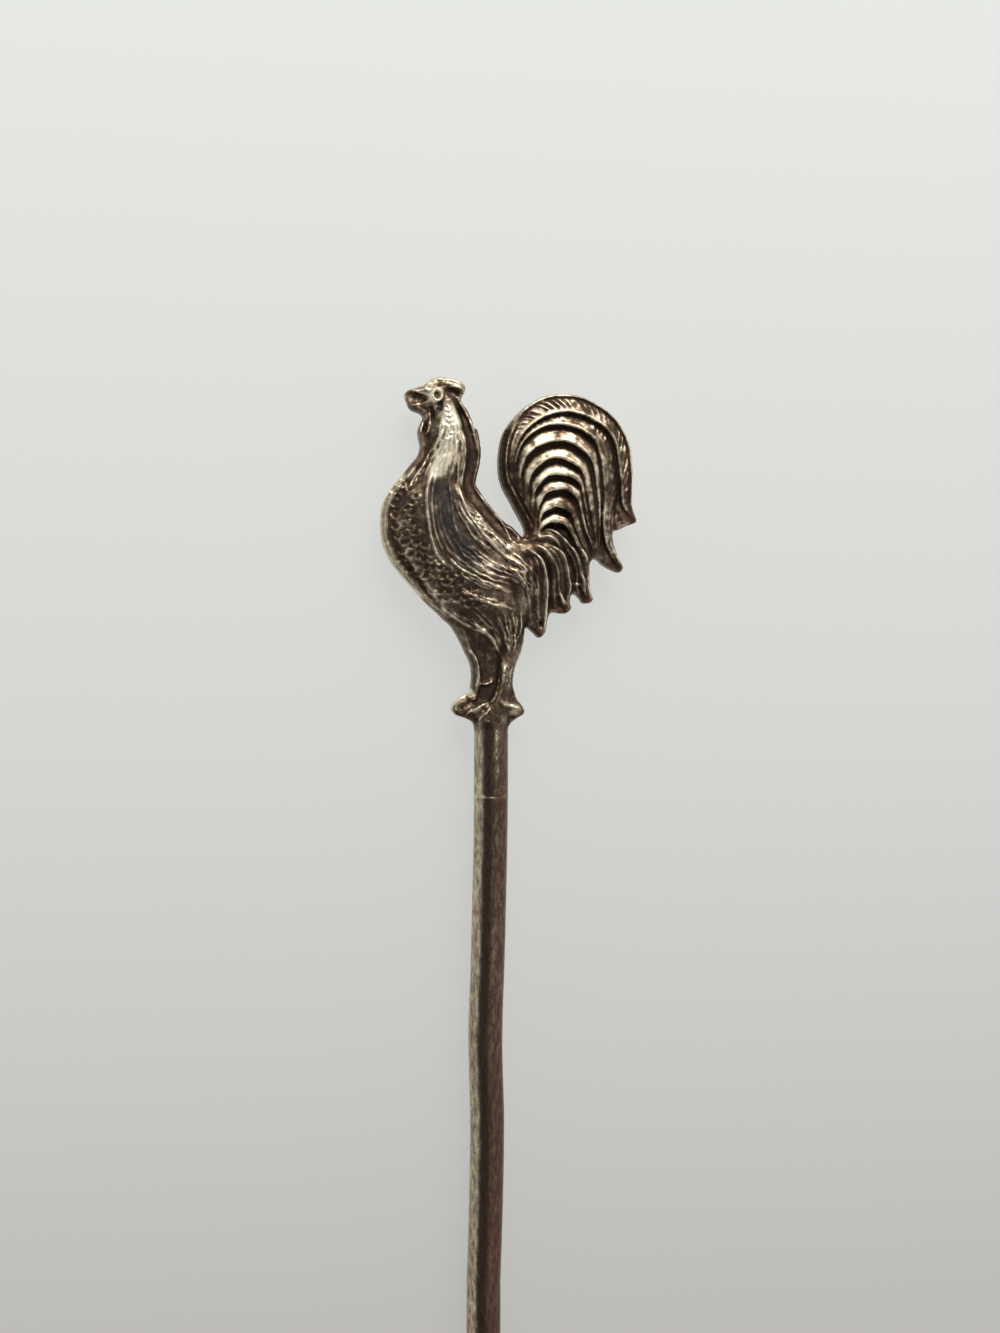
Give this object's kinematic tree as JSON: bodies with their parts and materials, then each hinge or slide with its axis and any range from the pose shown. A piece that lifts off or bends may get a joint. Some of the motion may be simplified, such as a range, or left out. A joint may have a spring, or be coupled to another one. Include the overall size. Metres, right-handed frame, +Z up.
{
  "type": "cocktail pick",
  "caption": "Metal cocktail pick: a cast rooster on a small foot mound, soldered to a slender round wire with a drawn-out point.",
  "frame": {"origin": "on the table, under the middle of the pick's bounding box", "axes": "+Y along the pick towards the rooster's head, +X towards its tail, +Z up from the table through the face that the picture shows"},
  "size_m": [0.0144, 0.088, 0.0032],
  "materials": {
    "cast_silver": "oxidised silver: dark brown in the recesses, rubbed bright on the crests",
    "drawn_silver": "tarnished silver wire with small pits and a worn shine"
  },
  "bodies": {
    "root": {"rooster": "cast_silver", "stem": "drawn_silver"}
  },
  "joints": []
}
